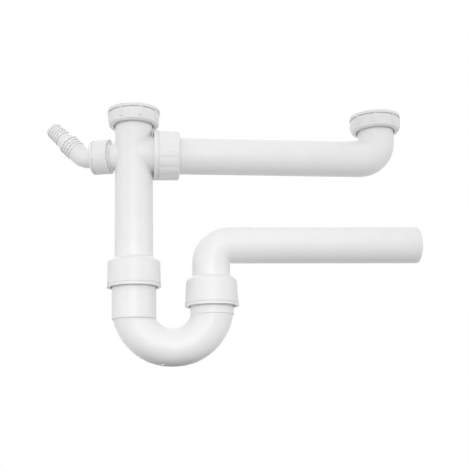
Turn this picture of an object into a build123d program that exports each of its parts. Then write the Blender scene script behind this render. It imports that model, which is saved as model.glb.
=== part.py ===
from build123d import *
import os
from math import atan, cos, degrees, pi, radians, sin, sqrt, tan

# Double bowl sink trap in white polypropylene, for two 1 1/2 inch wastes and a 40 mm drain.
# Millimetres. The origin is the centre of the main inlet's sealing face, where the first
# bowl's waste presses on the gasket. +Z is up and +X runs along the cross tube to the
# second bowl.

# Tube, the same on every branch
tube_radius = 20.0
tube_wall = 2.0

# Fits
slip_gap = 0.3
nut_gap = 0.5
thread_gap = 0.3
seal_gap = 0.1
face_gap = 0.15

# Places of the branches and bends
cross_drop = 41.1
cross_tube_reach = 270.6
bend_drop = 205.1
bend_centre_x = 39.8
outlet_rise = 66.1
outlet_leg_x = 80.8
outlet_end_x = 309.3
cross_elbow_inside = 0.8
outlet_elbow_inside = 0.5

# Bend: a tube that narrows from both ends to its waist, as the two cores draw out of it.
# Its sections are more or less than the straight tube's by these steps.
bend_radius = 41.6
bend_inlet_end_step = 0.9
bend_outlet_end_step = 2.0
bend_waist_step = 0.4
bend_bore_step = 0.5
bend_section_count = 9

# Tube ends and stops inside the sockets, from the ends of the bend and from the cross branch's stop
tube_end_rise = 8.1
inlet_stop_depth = 9.4
cross_tube_travel = 3.6

# Sockets that take a tube, a cone seal and a nut
socket_wall = 2.5
seat_depth = 3.0
seat_flare = 1.6
inlet_collar_depth = 12.2
outlet_collar_depth = 8.6
tube_end_chamfer = 0.7

# Cone seals
seal_head = 4.5
seal_lip = 2.4
seal_cone_gap = 0.2
seal_edge_gap = 0.5

# Branch moulded on the tee for the cross tube
branch_step = 0.2
branch_length = 4.0
branch_wall = 2.0
branch_fillet = 3.0

# Inlet nuts, flanges and gaskets
thread_bore_radius = 22.42
thread_lead_in = 0.8
inlet_nut_top = 8.0
inlet_nut_floor = 3.35
inlet_hole_gap = 1.4
inlet_relief_gap = 0.4
inlet_rim_wall = 4.2
inlet_rim_height = 3.2
inlet_groove_width = 1.1
inlet_groove_wall = 2.6
inlet_skirt_wall = 3.7
inlet_foot_wall = 2.8
inlet_foot_round = 1.8
inlet_rib_count = 8
inlet_rib_width = 3.2
inlet_rib_length = 10.0
inlet_rib_relief = 0.35
inlet_rib_angle = -77.0
second_rib_angle = -62.0
flange_thickness = 3.0
flange_width = 3.6
gasket_thickness = 3.0
gasket_margin = 0.2
gasket_bore_gap = 0.6

# Nut on the cross branch
cross_nut_reach = 24.0
cross_nut_length = 27.2
cross_nut_floor = 2.6
cross_nut_rim_wall = 3.8
cross_nut_rim_width = 4.2
cross_nut_skirt_wall = 3.6
cross_nut_shoulder_wall = 3.3
cross_nut_shoulder_height = 1.2
cross_nut_crown_width = 4.7
cross_nut_shoulder_round = 0.6

# Nuts on the two ends of the bend
bend_nut_floor = 3.0
bend_nut_rim_width = 2.6
inlet_side_nut_rise = 51.5
inlet_side_nut_length = 30.9
inlet_side_nut_rim_wall = 4.9
inlet_side_nut_skirt_wall = 4.6
inlet_side_nut_shoulder_wall = 4.1
inlet_side_nut_shoulder_height = 4.0
inlet_side_nut_crown_width = 0.4
inlet_side_nut_shoulder_round = 0.8
outlet_side_nut_rise = 31.4
outlet_side_nut_length = 31.2
outlet_side_nut_rim_wall = 5.2
outlet_side_nut_skirt_wall = 4.9
outlet_side_nut_shoulder_wall = 3.4
outlet_side_nut_shoulder_height = 4.0
outlet_side_nut_crown_width = 1.0
outlet_side_nut_shoulder_round = 3.0

# Grip flutes on the cross nut, and the rims of all three nuts: a line above and a relief inside
flute_count = 16
flute_depth = 0.45
flute_radius = 14.0
rim_line_width = 0.8
rim_line_depth = 0.5
rim_relief = 1.6
rim_relief_depth = 5.0

# Hose branch, its nut, washer and angled hose nozzle
hose_branch_turn = 16.5
hose_neck_radius = 14.4
hose_neck_length = 3.6
hose_shoulder_radius = 15.7
hose_shoulder_width = 2.2
hose_spigot_radius = 14.8
hose_branch_bore_radius = 10.5
hose_nut_reach = 19.8
hose_nut_floor = 2.4
hose_nut_radius = 18.7
hose_nut_outer_radius = 18.3
hose_nut_edge = 1.2
hose_nut_line_offset = 3.4
hose_washer_thickness = 2.2
hose_washer_margin = 0.6
nozzle_flange_radius = 14.6
nozzle_flange_thickness = 2.5
nozzle_tube_radius = 10.6
nozzle_bore_radius = 7.8
nozzle_corner_reach = 10.0
nozzle_bend_radius = 14.0
nozzle_angle = 45.0
thick_barbs_start = 13.0
thick_barb_count = 4
thick_barb_pitch = 3.7
thick_barb_crest = 11.3
thick_barb_root = 10.4
thin_tail_start = 30.2
thin_tail_radius = 9.6
thin_barbs_start = 34.6
thin_barb_count = 5
thin_barb_pitch = 3.3
thin_barb_first_crest = 9.5
thin_barb_last_crest = 8.8
thin_barb_depth = 0.8
thin_bore_radius = 5.6

# Mould gate on the underside of the bend
gate_angle = 10.0
gate_tilt = 18.0
gate_radius = 1.6
gate_height = 1.0

# Sizes that follow
tube_bore_radius = tube_radius - tube_wall
branch_radius = tube_radius - branch_step
cross_elbow_radius = tube_radius + cross_elbow_inside
outlet_elbow_radius = tube_radius + outlet_elbow_inside
bend_inlet_end_radius = tube_radius + bend_inlet_end_step
bend_outlet_end_radius = tube_radius + bend_outlet_end_step
bend_waist_radius = tube_radius - bend_waist_step
bend_end_bore_radius = tube_bore_radius + bend_bore_step
bend_waist_bore_radius = tube_bore_radius - bend_bore_step
socket_bore_radius = tube_radius + slip_gap
socket_radius = socket_bore_radius + socket_wall
nut_bore_radius = socket_radius + thread_gap
nut_hole_radius = tube_radius + nut_gap
seal_space = seal_head + 2 * face_gap
flange_radius = tube_radius + flange_width
gasket_radius = flange_radius - gasket_margin
gasket_bore_radius = tube_bore_radius + gasket_bore_gap
inlet_hole_radius = tube_radius + inlet_hole_gap
inlet_relief_radius = flange_radius + inlet_relief_gap
flange_top = -gasket_thickness
flange_bottom = flange_top - flange_thickness
inlet_nut_bottom = flange_bottom - face_gap - inlet_nut_floor
cross_stop_x = tube_radius + branch_length
cross_tube_start_x = cross_stop_x + cross_tube_travel
cross_nut_end_x = cross_stop_x + cross_nut_reach
cross_mouth_x = cross_nut_end_x - cross_nut_floor - seal_space
outlet_drop = bend_drop - outlet_rise
tube_end_drop = bend_drop - tube_end_rise
inlet_side_nut_top_drop = bend_drop - inlet_side_nut_rise
outlet_side_nut_top_drop = bend_drop - outlet_side_nut_rise
inlet_mouth_drop = inlet_side_nut_top_drop + bend_nut_floor + seal_space
outlet_mouth_drop = outlet_side_nut_top_drop + bend_nut_floor + seal_space
hose_shoulder_start = tube_radius + hose_neck_length
hose_shoulder_end = hose_shoulder_start + hose_shoulder_width
hose_nut_end = hose_shoulder_end + hose_nut_reach
nozzle_corner = hose_nut_end + nozzle_corner_reach
hose_nut_start = hose_shoulder_end + face_gap
nozzle_flange_end = hose_nut_end - hose_nut_floor - face_gap
nozzle_flange_start = nozzle_flange_end - nozzle_flange_thickness
hose_washer_start = nozzle_flange_start - face_gap - hose_washer_thickness
hose_spigot_end = hose_washer_start - face_gap
hose_direction = (-cos(radians(hose_branch_turn)), sin(radians(hose_branch_turn)), 0)

# Local frames: Z along each branch
along_cross = Plane(origin=(0, 0, -cross_drop), x_dir=(0, 0, 1), z_dir=(1, 0, 0))
along_hose = Plane(origin=(0, 0, -cross_drop), x_dir=(0, 0, 1), z_dir=hose_direction)
along_second_inlet = Plane(origin=(cross_tube_reach, 0, 0), z_dir=(0, 0, 1))
along_outlet_leg = Plane(origin=(outlet_leg_x, 0, 0), z_dir=(0, 0, 1))


def rod(radius, start, end):
    """Round bar on the Z axis from one height to another."""
    return Pos(0, 0, start) * Cylinder(radius, end - start, align=(Align.CENTER, Align.CENTER, Align.MIN))


def turned(points):
    """Solid turned about the Z axis from its (radius, height) outline."""
    outline = Polyline([(radius, 0, height) for radius, height in points], close=True)
    return revolve(make_face(outline), Axis.Z)


def ring(inner, outer, start, end):
    """Flat ring on the Z axis."""
    return turned([(inner, start), (outer, start), (outer, end), (inner, end)])


def curved_rod(radius, start, heading, pivot, axis, turn):
    """Round bar that starts square to its heading and turns about a pivot."""
    section = Plane(origin=start, z_dir=heading) * Circle(radius)
    return revolve(section, Axis(pivot, axis), turn)


def seat(mouth):
    """Cone cut in a socket's mouth for the seal, with the socket's axis on Z."""
    deep = mouth - seat_depth
    past = mouth + seat_depth
    wide = socket_bore_radius + seat_flare
    widest = socket_bore_radius + 2 * seat_flare
    return turned([(0, deep), (socket_bore_radius, deep), (wide, mouth), (widest, past), (0, past)])


def cone_seal(mouth):
    """Rubber ring: a head under the nut's floor, and a cone lip in the socket's mouth."""
    inner = tube_radius + seal_gap
    lip_end = mouth - seal_lip
    lip_outer = socket_bore_radius + seat_flare * (1 - seal_lip / seat_depth) - seal_cone_gap
    cone_outer = socket_bore_radius + seat_flare - seal_cone_gap
    head_start = mouth + face_gap
    head_end = head_start + seal_head
    head_outer = nut_bore_radius - seal_edge_gap
    return turned([
        (inner, lip_end),
        (lip_outer, lip_end),
        (cone_outer, mouth),
        (cone_outer, head_start),
        (head_outer, head_start),
        (head_outer, head_end),
        (inner, head_end),
    ])


def compression_nut(
    length, floor, rim_wall, rim_width, skirt_wall, shoulder_wall, shoulder_height, crown_width, shoulder_round
):
    """Nut with its open end at height 0: a rim, a tapered skirt and a sloped shoulder."""
    rim = nut_bore_radius + rim_wall
    skirt = nut_bore_radius + skirt_wall
    shoulder = nut_bore_radius + shoulder_wall
    crown = nut_hole_radius + crown_width
    skirt_start = rim_width + rim_line_width
    shoulder_start = length - shoulder_height
    line_radius = skirt - rim_line_depth
    relief_radius = nut_bore_radius + rim_relief
    body = turned([
        (relief_radius, 0),
        (rim, 0),
        (rim, rim_width),
        (line_radius, rim_width),
        (line_radius, skirt_start),
        (skirt, skirt_start),
        (shoulder, shoulder_start),
        (crown, length),
        (nut_hole_radius, length),
        (nut_hole_radius, length - floor),
        (nut_bore_radius, length - floor),
        (nut_bore_radius, rim_relief_depth),
        (relief_radius, rim_relief_depth),
    ])
    shoulder_edge = body.edges().filter_by_position(Axis.Z, shoulder_start, shoulder_start)
    return fillet(shoulder_edge, shoulder_round)


def flute_cutter(length, start, skirt, taper):
    """Round-nosed cutter for one grip flute, leaning with the skirt's taper."""
    nose = start + sqrt(2 * flute_radius * flute_depth)
    radius_there = skirt - taper * (nose - start)
    cutter = rod(flute_radius, 0, length) + Sphere(flute_radius)
    return Pos(radius_there + flute_radius - flute_depth, 0, nose) * Rot(0, -degrees(atan(taper)), 0) * cutter


def inlet_nut(rib_angle):
    """Union nut under a sink waste: a lipped rim, a groove, and ribs that bridge the groove."""
    rim = inlet_relief_radius + inlet_rim_wall
    groove = inlet_relief_radius + inlet_groove_wall
    skirt = inlet_relief_radius + inlet_skirt_wall
    foot = inlet_relief_radius + inlet_foot_wall
    rim_bottom = inlet_nut_top - inlet_rim_height
    groove_bottom = rim_bottom - inlet_groove_width
    mouth_radius = thread_bore_radius + thread_lead_in
    outer = turned([
        (0, inlet_nut_bottom),
        (foot - inlet_foot_round, inlet_nut_bottom),
        (foot, inlet_nut_bottom + inlet_foot_round),
        (skirt, groove_bottom),
        (groove, groove_bottom),
        (groove, rim_bottom),
        (rim, rim_bottom),
        (rim, inlet_nut_top),
        (0, inlet_nut_top),
    ])
    rib_reach = rim - inlet_rib_relief
    rib_bottom = rim_bottom - inlet_rib_length
    rib = Pos(0, 0, rib_bottom) * Box(
        rib_reach, inlet_rib_width, rim_bottom - rib_bottom, align=(Align.MIN, Align.CENTER, Align.MIN)
    )
    rib = rib & rod(rib_reach, rib_bottom, rim_bottom)
    for index in range(inlet_rib_count):
        outer += Rot(0, 0, rib_angle + index * 360 / inlet_rib_count) * rib
    bore = turned([
        (0, inlet_nut_bottom),
        (inlet_hole_radius, inlet_nut_bottom),
        (inlet_hole_radius, flange_bottom - face_gap),
        (inlet_relief_radius, flange_bottom - face_gap),
        (inlet_relief_radius, 0),
        (thread_bore_radius, 0),
        (thread_bore_radius, inlet_nut_top - thread_lead_in),
        (mouth_radius, inlet_nut_top),
        (0, inlet_nut_top),
    ])
    return outer - bore


def inlet_gasket():
    """Flat washer between the flange and the sink waste."""
    return ring(gasket_bore_radius, gasket_radius, flange_top, 0)


def inlet_flange():
    """Flange moulded on the top of an inlet tube, still solid."""
    return rod(flange_radius, flange_bottom, flange_top)


def tee_pipe():
    """Upright inlet tube with the cross branch, the hose branch and the top flange."""
    body = rod(tube_radius, -tube_end_drop, flange_bottom)
    body += along_cross * rod(branch_radius, 0, cross_stop_x)
    body += along_hose * rod(hose_neck_radius, 0, hose_shoulder_start)
    body = fillet(body.edges().filter_by(GeomType.BSPLINE), branch_fillet)
    body += inlet_flange()
    body += along_cross * rod(socket_radius, cross_stop_x - socket_wall, cross_mouth_x)
    body += along_hose * rod(hose_shoulder_radius, hose_shoulder_start, hose_shoulder_end)
    body += along_hose * rod(hose_spigot_radius, hose_shoulder_end, hose_spigot_end)
    body -= rod(tube_bore_radius, -tube_end_drop, flange_top)
    body -= along_cross * rod(branch_radius - branch_wall, 0, cross_stop_x)
    body -= along_cross * rod(socket_bore_radius, cross_stop_x, cross_mouth_x)
    body -= along_cross * seat(cross_mouth_x)
    body -= along_hose * rod(hose_branch_bore_radius, 0, hose_spigot_end)
    return body


def cross_tube():
    """Tube from the tee to the second bowl, with its elbow and top flange in one moulding."""
    bend_x = cross_tube_reach - cross_elbow_radius
    bend_z = -cross_drop + cross_elbow_radius

    def solid(radius, top):
        run = along_cross * rod(radius, cross_tube_start_x, bend_x)
        turn = curved_rod(radius, (bend_x, 0, -cross_drop), (1, 0, 0), (bend_x, 0, bend_z), (0, -1, 0), 90)
        rise = along_second_inlet * rod(radius, bend_z, top)
        return run + turn + rise

    outer = solid(tube_radius, flange_bottom) + along_second_inlet * inlet_flange()
    return outer - solid(tube_bore_radius, flange_top)


def outlet_pipe():
    """Leg out of the bend, a tight elbow and the long drain tube."""
    bend_x = outlet_leg_x + outlet_elbow_radius
    bend_z = -outlet_drop - outlet_elbow_radius

    def solid(radius):
        leg = along_outlet_leg * rod(radius, -tube_end_drop, bend_z)
        turn = curved_rod(radius, (outlet_leg_x, 0, bend_z), (0, 0, 1), (bend_x, 0, bend_z), (0, 1, 0), 90)
        run = Plane(origin=(0, 0, -outlet_drop), z_dir=(1, 0, 0)) * rod(radius, bend_x, outlet_end_x)
        return leg + turn + run

    outer = solid(tube_radius)
    far_edge = outer.edges().filter_by(GeomType.CIRCLE).sort_by(Axis.X)[-1]
    outer = chamfer(far_edge, tube_end_chamfer)
    return outer - solid(tube_bore_radius)


def half_turn(inlet_end, waist, outlet_end):
    """Half ring below the bend's centre, lofted through round sections from end to waist to end."""
    sections = []
    for index in range(bend_section_count):
        share = index / (bend_section_count - 1)
        from_waist = 2 * share - 1
        end = inlet_end if from_waist < 0 else outlet_end
        radius = waist + (end - waist) * abs(from_waist)
        out = (-cos(pi * share), 0, -sin(pi * share))
        heading = (sin(pi * share), 0, -cos(pi * share))
        place = (bend_centre_x + bend_radius * out[0], 0, -bend_drop + bend_radius * out[2])
        sections.append(Plane(origin=place, x_dir=(0, 1, 0), z_dir=heading) * Circle(radius))
    return loft(sections)


def trap_bend():
    """U-bend that holds the water seal, with a socket for a tube on each end."""
    inlet_collar = rod(socket_radius, -bend_drop - inlet_collar_depth, -inlet_mouth_drop)
    outlet_collar = along_outlet_leg * rod(socket_radius, -bend_drop - outlet_collar_depth, -outlet_mouth_drop)
    gate = Rot(gate_tilt, 0, 0) * rod(gate_radius, 0, bend_waist_radius + gate_height)
    body = half_turn(bend_inlet_end_radius, bend_waist_radius, bend_outlet_end_radius)
    body += Pos(bend_centre_x, 0, -bend_drop) * Rot(0, 180 + gate_angle, 0) * Pos(0, 0, bend_radius) * gate
    body += inlet_collar
    body += outlet_collar
    body -= half_turn(bend_end_bore_radius, bend_waist_bore_radius, bend_end_bore_radius)
    body -= rod(socket_bore_radius, -bend_drop - inlet_stop_depth, -inlet_mouth_drop)
    body -= along_outlet_leg * rod(socket_bore_radius, -bend_drop, -outlet_mouth_drop)
    body -= seat(-inlet_mouth_drop)
    body -= along_outlet_leg * seat(-outlet_mouth_drop)
    return body


def hose_nut():
    """Small nut that clamps the nozzle's flange on the hose branch."""
    line_top = hose_nut_end - hose_nut_line_offset
    line_bottom = line_top - rim_line_width
    bore = hose_spigot_radius + thread_gap
    hole = nozzle_tube_radius + nut_gap
    line_radius = hose_nut_outer_radius - rim_line_depth
    return turned([
        (bore, hose_nut_start),
        (hose_nut_radius, hose_nut_start),
        (hose_nut_outer_radius, line_bottom),
        (line_radius, line_bottom),
        (line_radius, line_top),
        (hose_nut_outer_radius, line_top),
        (hose_nut_outer_radius, hose_nut_end - hose_nut_edge),
        (hose_nut_outer_radius - hose_nut_edge, hose_nut_end),
        (hole, hose_nut_end),
        (hole, hose_nut_end - hose_nut_floor),
        (bore, hose_nut_end - hose_nut_floor),
    ])


def hose_washer():
    """Flat washer between the hose branch and the nozzle's flange."""
    outer = hose_spigot_radius - hose_washer_margin
    return ring(hose_branch_bore_radius, outer, hose_washer_start, hose_washer_start + hose_washer_thickness)


def barb_outline():
    """Outline of the hose tail to its tip: each barb is a step up and a cone down."""
    points = []
    height = thick_barbs_start
    for index in range(thick_barb_count):
        points.append((thick_barb_crest, height))
        height += thick_barb_pitch
        points.append((thick_barb_root, height))
    points.append((thin_tail_radius, thin_tail_start))
    height = thin_barbs_start
    taper = (thin_barb_first_crest - thin_barb_last_crest) / (thin_barb_count - 1)
    points.append((thin_barb_first_crest - thin_barb_depth, height))
    for index in range(thin_barb_count):
        crest = thin_barb_first_crest - index * taper
        points.append((crest, height))
        height += thin_barb_pitch
        points.append((crest - thin_barb_depth, height))
    return points


def hose_nozzle():
    """Angled hose tail: a flange, a short bend and two sizes of barb."""
    tangent = nozzle_bend_radius * tan(radians(nozzle_angle / 2))
    bend_start = nozzle_corner - tangent
    barbs = barb_outline()
    tip = barbs[-1][1]
    tail = Pos(0, 0, nozzle_corner) * Rot(0, nozzle_angle, 0)

    def elbow(radius):
        pivot = (nozzle_bend_radius, 0, bend_start)
        turn = curved_rod(radius, (0, 0, bend_start), (0, 0, 1), pivot, (0, 1, 0), nozzle_angle)
        return rod(radius, nozzle_flange_start, bend_start) + turn

    outer = elbow(nozzle_tube_radius) + rod(nozzle_flange_radius, nozzle_flange_start, nozzle_flange_end)
    outer += tail * rod(nozzle_tube_radius, tangent, thick_barbs_start)
    outer += tail * turned([(0, thick_barbs_start)] + barbs + [(0, tip)])
    bore = elbow(nozzle_bore_radius)
    bore += tail * rod(nozzle_bore_radius, tangent, thin_tail_start)
    bore += tail * rod(thin_bore_radius, thin_tail_start, tip)
    return along_hose * (outer - bore)


def cross_nut():
    """Fluted nut that squeezes the cross tube's seal."""
    nut = compression_nut(
        cross_nut_length,
        cross_nut_floor,
        cross_nut_rim_wall,
        cross_nut_rim_width,
        cross_nut_skirt_wall,
        cross_nut_shoulder_wall,
        cross_nut_shoulder_height,
        cross_nut_crown_width,
        cross_nut_shoulder_round,
    )
    skirt_start = cross_nut_rim_width + rim_line_width
    skirt_length = cross_nut_length - cross_nut_shoulder_height - skirt_start
    taper = (cross_nut_skirt_wall - cross_nut_shoulder_wall) / skirt_length
    cutter = flute_cutter(cross_nut_length, skirt_start, nut_bore_radius + cross_nut_skirt_wall, taper)
    for index in range(flute_count):
        nut -= Rot(0, 0, index * 360 / flute_count) * cutter
    return along_cross * Pos(0, 0, cross_nut_end_x - cross_nut_length) * nut


def bend_inlet_nut():
    """Nut between the upright tube and the bend."""
    nut = compression_nut(
        inlet_side_nut_length,
        bend_nut_floor,
        inlet_side_nut_rim_wall,
        bend_nut_rim_width,
        inlet_side_nut_skirt_wall,
        inlet_side_nut_shoulder_wall,
        inlet_side_nut_shoulder_height,
        inlet_side_nut_crown_width,
        inlet_side_nut_shoulder_round,
    )
    return Pos(0, 0, -inlet_side_nut_top_drop - inlet_side_nut_length) * nut


def bend_outlet_nut():
    """Nut between the bend and the outlet leg."""
    nut = compression_nut(
        outlet_side_nut_length,
        bend_nut_floor,
        outlet_side_nut_rim_wall,
        bend_nut_rim_width,
        outlet_side_nut_skirt_wall,
        outlet_side_nut_shoulder_wall,
        outlet_side_nut_shoulder_height,
        outlet_side_nut_crown_width,
        outlet_side_nut_shoulder_round,
    )
    return along_outlet_leg * Pos(0, 0, -outlet_side_nut_top_drop - outlet_side_nut_length) * nut


parts = {
    "tee_pipe": tee_pipe(),
    "inlet_nut": inlet_nut(inlet_rib_angle),
    "inlet_gasket": inlet_gasket(),
    "cross_nut": cross_nut(),
    "cross_seal": along_cross * cone_seal(cross_mouth_x),
    "cross_tube": cross_tube(),
    "second_inlet_nut": along_second_inlet * inlet_nut(second_rib_angle),
    "second_inlet_gasket": along_second_inlet * inlet_gasket(),
    "hose_nut": along_hose * hose_nut(),
    "hose_washer": along_hose * hose_washer(),
    "hose_nozzle": hose_nozzle(),
    "bend_inlet_nut": bend_inlet_nut(),
    "bend_inlet_seal": cone_seal(-inlet_mouth_drop),
    "trap_bend": trap_bend(),
    "bend_outlet_nut": bend_outlet_nut(),
    "bend_outlet_seal": along_outlet_leg * cone_seal(-outlet_mouth_drop),
    "outlet_pipe": outlet_pipe(),
}

os.makedirs("parts", exist_ok=True)
for name, part in parts.items():
    export_step(part, f"parts/{name}.step")
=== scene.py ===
import math

import bpy
from mathutils import Matrix, Vector


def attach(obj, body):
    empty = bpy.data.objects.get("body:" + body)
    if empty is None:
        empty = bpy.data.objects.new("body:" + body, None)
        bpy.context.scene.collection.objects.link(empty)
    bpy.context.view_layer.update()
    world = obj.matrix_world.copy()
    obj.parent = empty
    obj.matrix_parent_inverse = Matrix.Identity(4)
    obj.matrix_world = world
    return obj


# Looks of the double bowl sink trap. Metres, in the same frame as the solids: the origin is the
# centre of the main inlet's sealing face, +Z is up and +X runs along the cross tube. A value in
# millimetres is multiplied by MM where it is used.

MM = 0.001

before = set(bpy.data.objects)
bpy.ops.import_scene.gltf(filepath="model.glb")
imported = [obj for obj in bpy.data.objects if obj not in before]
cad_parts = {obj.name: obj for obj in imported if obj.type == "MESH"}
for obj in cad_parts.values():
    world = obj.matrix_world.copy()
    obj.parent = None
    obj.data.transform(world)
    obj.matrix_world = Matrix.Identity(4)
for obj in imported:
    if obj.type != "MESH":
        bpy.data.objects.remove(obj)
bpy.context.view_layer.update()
scene = bpy.context.scene
scene.view_settings.view_transform = "Standard"


# Materials: widths, depths and roundings in millimetres

WHITE = "#ffffff"
BLACK = "#000000"
PLASTIC_IOR = 1.49
PLASTIC_CLOUD = 28
PLASTIC_RUBBED_PATCH = 11
PLASTIC_LIGHT_DEPTH = 1.5
PLASTIC_EDGE_ROUNDING = 0.45
RUBBER_IOR = 1.5
RUBBER_ROUGHNESS = 0.72
RUBBER_BLOOM = 6
RUBBER_GRAIN = 0.5
RUBBER_GRAIN_DEPTH = 0.06


def colour(hex_code):
    """Linear colour with alpha from an sRGB hex value."""
    channels = [int(hex_code[place:place + 2], 16) / 255 for place in (1, 3, 5)]
    linear = [c / 12.92 if c <= 0.04045 else ((c + 0.055) / 1.055) ** 2.4 for c in channels]
    return (*linear, 1.0)


def add_node(tree, kind, settings=None, links=None):
    """Adds a node, sets its properties and sockets, and links outputs of earlier nodes to it."""
    made = tree.nodes.new(kind)
    for name, value in (settings or {}).items():
        if hasattr(made, name):
            setattr(made, name, value)
        else:
            made.inputs[name].default_value = value
    for name, (source, output) in (links or {}).items():
        tree.links.new(source.outputs[output], made.inputs[name])
    return made


def new_material(name):
    """Material with an empty node tree, and that tree."""
    material = bpy.data.materials.new(name)
    material.use_nodes = True
    material.node_tree.nodes.clear()
    return material, material.node_tree


def per_metre(size_mm):
    """Texture scale whose features are about this many millimetres wide."""
    return 1 / (size_mm * MM)


def moulded_polypropylene(name, pale, deep, roughness, grain_mm, grain_depth_mm):
    """White polypropylene, injection moulded: satin, faintly cloudy, with a very fine grain."""
    material, tree = new_material(name)
    place = add_node(tree, "ShaderNodeTexCoord")
    clouds = add_node(
        tree, "ShaderNodeTexNoise",
        {"Scale": per_metre(PLASTIC_CLOUD), "Detail": 3.0, "Roughness": 0.55},
        {"Vector": (place, "Object")},
    )
    tint = add_node(tree, "ShaderNodeValToRGB", links={"Fac": (clouds, "Fac")})
    tint.color_ramp.elements[0].position = 0.3
    tint.color_ramp.elements[0].color = colour(deep)
    tint.color_ramp.elements[1].position = 0.7
    tint.color_ramp.elements[1].color = colour(pale)
    # Handling leaves patches that are a little more or less shiny.
    handling = add_node(
        tree, "ShaderNodeTexNoise",
        {"Scale": per_metre(PLASTIC_RUBBED_PATCH), "Detail": 4.0, "Roughness": 0.6},
        {"Vector": (place, "Object")},
    )
    smoothest, roughest = roughness
    satin = add_node(
        tree, "ShaderNodeMapRange",
        {"From Min": 0.3, "From Max": 0.7, "To Min": smoothest, "To Max": roughest},
        {"Value": (handling, "Fac")},
    )
    # The real grain is about 0.1 mm: it is drawn coarser so that it shows.
    grain = add_node(
        tree, "ShaderNodeTexNoise",
        {"Scale": per_metre(grain_mm), "Detail": 2.0, "Roughness": 0.5},
        {"Vector": (place, "Object")},
    )
    soft_edges = add_node(tree, "ShaderNodeBevel", {"samples": 2, "Radius": PLASTIC_EDGE_ROUNDING * MM})
    surface = add_node(
        tree, "ShaderNodeBump",
        {"Strength": 0.35, "Distance": grain_depth_mm * MM},
        {"Height": (grain, "Fac"), "Normal": (soft_edges, "Normal")},
    )
    shader = add_node(
        tree, "ShaderNodeBsdfPrincipled",
        {
            "IOR": PLASTIC_IOR,
            "Subsurface Weight": 0.12,
            "Subsurface Radius": (1.0, 1.0, 0.9),
            "Subsurface Scale": PLASTIC_LIGHT_DEPTH * MM,
        },
        {"Base Color": (tint, "Color"), "Roughness": (satin, "Result"), "Normal": (surface, "Normal")},
    )
    add_node(tree, "ShaderNodeOutputMaterial", links={"Surface": (shader, "BSDF")})
    return material


def moulded_rubber():
    """Black EPDM rubber, press moulded: dull, with a light bloom of wax in soft patches."""
    material, tree = new_material("black_epdm_rubber")
    place = add_node(tree, "ShaderNodeTexCoord")
    bloom = add_node(
        tree, "ShaderNodeTexNoise",
        {"Scale": per_metre(RUBBER_BLOOM), "Detail": 5.0, "Roughness": 0.65},
        {"Vector": (place, "Object")},
    )
    tint = add_node(tree, "ShaderNodeValToRGB", links={"Fac": (bloom, "Fac")})
    tint.color_ramp.elements[0].position = 0.35
    tint.color_ramp.elements[0].color = colour("#1b1b1c")
    tint.color_ramp.elements[1].position = 0.75
    tint.color_ramp.elements[1].color = colour("#2c2c2d")
    grain = add_node(
        tree, "ShaderNodeTexNoise",
        {"Scale": per_metre(RUBBER_GRAIN), "Detail": 2.0},
        {"Vector": (place, "Object")},
    )
    surface = add_node(
        tree, "ShaderNodeBump",
        {"Strength": 0.4, "Distance": RUBBER_GRAIN_DEPTH * MM},
        {"Height": (grain, "Fac")},
    )
    shader = add_node(
        tree, "ShaderNodeBsdfPrincipled",
        {"IOR": RUBBER_IOR, "Roughness": RUBBER_ROUGHNESS},
        {"Base Color": (tint, "Color"), "Normal": (surface, "Normal")},
    )
    add_node(tree, "ShaderNodeOutputMaterial", links={"Surface": (shader, "BSDF")})
    return material


tube_plastic = moulded_polypropylene(
    "white_polypropylene_tube",
    pale="#e6e6e6", deep="#e3e3e3", roughness=(0.36, 0.44), grain_mm=0.9, grain_depth_mm=0.03,
)
nut_plastic = moulded_polypropylene(
    "white_polypropylene_nut",
    pale="#e5e5e5", deep="#e2e2e2", roughness=(0.42, 0.5), grain_mm=0.8, grain_depth_mm=0.05,
)
seal_rubber = moulded_rubber()

NUTS = ("inlet_nut", "second_inlet_nut", "cross_nut", "hose_nut", "bend_inlet_nut", "bend_outlet_nut")
GASKETS = ("inlet_gasket", "second_inlet_gasket", "hose_washer")
CONE_SEALS = ("cross_seal", "bend_inlet_seal", "bend_outlet_seal")


def dress(piece, material):
    """Gives a piece one finish all over."""
    if not piece.material_slots:
        piece.data.materials.append(material)
    for slot in piece.material_slots:
        slot.material = material


finishes = {
    **dict.fromkeys(NUTS, nut_plastic),
    **dict.fromkeys(GASKETS + CONE_SEALS, seal_rubber),
}
for name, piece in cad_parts.items():
    dress(piece, finishes.get(name, tube_plastic))


# Threads inside the two inlet nuts, in millimetres

MAIN_INLET_X = 0
SECOND_INLET_X = 270.6
THREAD_RADIUS = 22.42
THREAD_PITCH = 2.309
THREAD_HEIGHT = 0.75
THREAD_START = 1.2
THREAD_TURNS = 2.25
STEPS_PER_TURN = 72
MERGE_DISTANCE = 0.001
SHARP_ANGLE = 40


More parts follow.
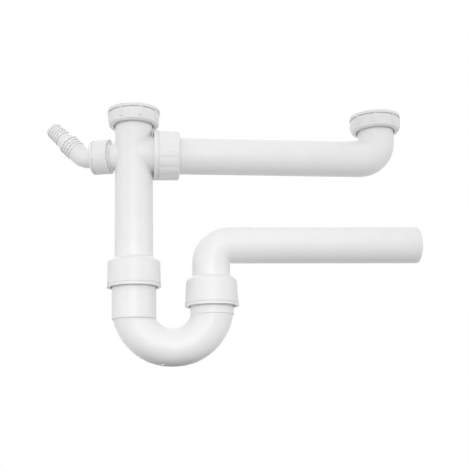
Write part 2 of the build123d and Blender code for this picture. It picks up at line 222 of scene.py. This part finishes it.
def thread_ridge(name, centre_x):
    """Helical ridge on the wall of an inlet nut's mouth: a diamond section screwed up the bore."""
    bpy.ops.object.select_all(action="DESELECT")
    bpy.ops.mesh.primitive_circle_add(
        vertices=4, radius=THREAD_HEIGHT * MM, fill_type="NOTHING", rotation=(math.radians(90), 0, 0)
    )
    ridge = bpy.context.object
    ridge.name = name
    bpy.ops.object.transform_apply(location=False, rotation=True, scale=False)
    bpy.ops.object.mode_set(mode="EDIT")
    bpy.ops.mesh.select_all(action="SELECT")
    bpy.ops.transform.translate(value=(THREAD_RADIUS * MM, 0, THREAD_START * MM))
    bpy.ops.object.mode_set(mode="OBJECT")
    screw = ridge.modifiers.new("thread", "SCREW")
    screw.angle = 2 * math.pi * THREAD_TURNS
    screw.screw_offset = THREAD_PITCH * THREAD_TURNS * MM
    screw.steps = int(STEPS_PER_TURN * THREAD_TURNS)
    screw.render_steps = screw.steps
    bpy.ops.object.modifier_apply(modifier=screw.name)
    bpy.ops.object.mode_set(mode="EDIT")
    bpy.ops.mesh.select_all(action="SELECT")
    bpy.ops.mesh.remove_doubles(threshold=MERGE_DISTANCE * MM)
    bpy.ops.mesh.fill_holes(sides=0)
    bpy.ops.mesh.select_all(action="SELECT")
    bpy.ops.mesh.normals_make_consistent(inside=False)
    bpy.ops.transform.translate(value=(centre_x * MM, 0, 0))
    bpy.ops.object.mode_set(mode="OBJECT")
    bpy.ops.object.shade_smooth_by_angle(angle=math.radians(SHARP_ANGLE))
    dress(ridge, nut_plastic)
    return ridge


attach(thread_ridge("inlet_thread", MAIN_INLET_X), "inlet_nut")
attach(thread_ridge("second_inlet_thread", SECOND_INLET_X), "second_inlet_nut")


# Floor, shade card, daylight and lamps: the floor and lamps in metres, the card in millimetres

FLOOR_WIDTH = 6
FLOOR_HEIGHT = -0.8
FLOOR_FADE_START = 0.4
FLOOR_FADE_END = 1.6
FLOOR_GLOW_NEAR = 0.55
FLOOR_GLOW_FAR = 1.0
PAPER_FIBRE = 40
CARD_PLACE = (40, 0, -284)
CARD_LENGTH = 130
CARD_WIDTH = 50
CARD_SIDES = 48
SEEN_DAYLIGHT = 1.0
LIT_DAYLIGHT = 0.82
LIT_PLACE = (0.1, 0, -0.13)
BEND_PLACE = (0.05, 0, -0.27)


def seen_or_lit(tree, seen, lit):
    """Mixes what the eye and mirror and glass rays meet with what lights the object."""
    path = add_node(tree, "ShaderNodeLightPath")
    eye_or_gloss = add_node(
        tree, "ShaderNodeMath",
        {"operation": "MAXIMUM"},
        {0: (path, "Is Camera Ray"), 1: (path, "Is Glossy Ray")},
    )
    any_view = add_node(
        tree, "ShaderNodeMath",
        {"operation": "MAXIMUM"},
        {0: (eye_or_gloss, "Value"), 1: (path, "Is Transmission Ray")},
    )
    return add_node(tree, "ShaderNodeMixShader", links={0: (any_view, "Value"), 1: lit, 2: seen})


def studio_floor():
    """Paper floor far below the object: bright to the eye, and dimmer where it lights the object."""
    bpy.ops.object.select_all(action="DESELECT")
    bpy.ops.mesh.primitive_plane_add(size=FLOOR_WIDTH, location=(0, 0, FLOOR_HEIGHT))
    floor = bpy.context.object
    floor.name = "floor"
    material, tree = new_material("pale_paper")
    place = add_node(tree, "ShaderNodeTexCoord")
    fibres = add_node(
        tree, "ShaderNodeTexNoise",
        {"Scale": per_metre(PAPER_FIBRE), "Detail": 3.0},
        {"Vector": (place, "Object")},
    )
    tint = add_node(tree, "ShaderNodeValToRGB", links={"Fac": (fibres, "Fac")})
    tint.color_ramp.elements[0].color = colour("#e6e6e6")
    tint.color_ramp.elements[1].color = colour("#eaeaea")
    paper = add_node(tree, "ShaderNodeBsdfDiffuse", links={"Color": (tint, "Color")})
    distance = add_node(tree, "ShaderNodeVectorMath", {"operation": "LENGTH"}, {0: (place, "Object")})
    fade = add_node(
        tree, "ShaderNodeMapRange",
        {
            "From Min": FLOOR_FADE_START,
            "From Max": FLOOR_FADE_END,
            "To Min": FLOOR_GLOW_NEAR,
            "To Max": FLOOR_GLOW_FAR,
        },
        {"Value": (distance, "Value")},
    )
    glow = add_node(tree, "ShaderNodeEmission", {"Color": colour(WHITE)}, {"Strength": (fade, "Result")})
    bright_paper = add_node(tree, "ShaderNodeAddShader", links={0: (paper, "BSDF"), 1: (glow, "Emission")})
    dim_paper = add_node(tree, "ShaderNodeBsdfDiffuse", {"Color": colour("#b4b4b4")})
    mixed = seen_or_lit(tree, (bright_paper, "Shader"), (dim_paper, "BSDF"))
    add_node(tree, "ShaderNodeOutputMaterial", links={"Surface": (mixed, "Shader")})
    dress(floor, material)


def shade_card():
    """Narrow black card under the bend's lowest place, unseen by the eye: it keeps the bottom dark."""
    bpy.ops.object.select_all(action="DESELECT")
    # A disc one unit across, stretched to the card's length and width
    bpy.ops.mesh.primitive_circle_add(
        vertices=CARD_SIDES, radius=0.5, fill_type="NGON", location=Vector(CARD_PLACE) * MM
    )
    card = bpy.context.object
    card.name = "shade_card"
    card.scale = (CARD_LENGTH * MM, CARD_WIDTH * MM, 1)
    material, tree = new_material("black_card")
    clear = add_node(tree, "ShaderNodeBsdfTransparent", {"Color": colour(WHITE)})
    black = add_node(tree, "ShaderNodeBsdfDiffuse", {"Color": colour(BLACK)})
    mixed = seen_or_lit(tree, (clear, "BSDF"), (black, "BSDF"))
    add_node(tree, "ShaderNodeOutputMaterial", links={"Surface": (mixed, "Shader")})
    dress(card, material)


def daylight():
    """White surroundings to the eye, with a softer level for the object's own light."""
    world = bpy.data.worlds.new("studio")
    scene.world = world
    world.use_nodes = True
    tree = world.node_tree
    tree.nodes.clear()
    seen = add_node(tree, "ShaderNodeBackground", {"Color": colour(WHITE), "Strength": SEEN_DAYLIGHT})
    lit = add_node(tree, "ShaderNodeBackground", {"Color": colour(WHITE), "Strength": LIT_DAYLIGHT})
    mixed = seen_or_lit(tree, (seen, "Background"), (lit, "Background"))
    add_node(tree, "ShaderNodeOutputWorld", links={"Surface": (mixed, "Shader")})


def softbox(name, place, aim, width, watts, spread=180):
    """Square soft lamp that points at a place, with its beam's spread in degrees."""
    lamp = bpy.data.lights.new(name, "AREA")
    lamp.shape = "SQUARE"
    lamp.size = width
    lamp.energy = watts
    lamp.spread = math.radians(spread)
    holder = bpy.data.objects.new(name, lamp)
    scene.collection.objects.link(holder)
    holder.location = place
    holder.rotation_euler = (Vector(aim) - Vector(place)).to_track_quat("-Z", "Y").to_euler()


studio_floor()
shade_card()
daylight()
softbox("front_softbox", place=(-0.05, -1.0, -0.14), aim=BEND_PLACE, width=0.7, watts=0.58, spread=45)
softbox("left_softbox", place=(-1.5, -0.8, 0.1), aim=LIT_PLACE, width=1.0, watts=3.2)
softbox("right_softbox", place=(1.6, -0.8, 0.1), aim=LIT_PLACE, width=1.0, watts=3.0)
softbox("back_softbox", place=(0.1, 1.2, 0.9), aim=LIT_PLACE, width=1.2, watts=4.5)


# Camera: low in front and a little to the left, looking up at the trap. Millimetres.

CAMERA_PLACE = Vector((-18.774, -832.573, -308.678)) * MM
CAMERA_FORWARD = Vector((0.146265, 0.966823, 0.209428))
CAMERA_UP = Vector((-0.004087, -0.211112, 0.977453))
FOCAL_LENGTH = 61.68
SENSOR_WIDTH = 36

camera_right = CAMERA_FORWARD.cross(CAMERA_UP).normalized()
camera_up = camera_right.cross(CAMERA_FORWARD).normalized()
lens = bpy.data.cameras.new("camera")
lens.sensor_width = SENSOR_WIDTH
lens.lens = FOCAL_LENGTH
camera = bpy.data.objects.new("camera", lens)
scene.collection.objects.link(camera)
turn = Matrix((camera_right, camera_up, -CAMERA_FORWARD)).transposed()
camera.matrix_world = Matrix.Translation(CAMERA_PLACE) @ turn.to_4x4()
scene.camera = camera
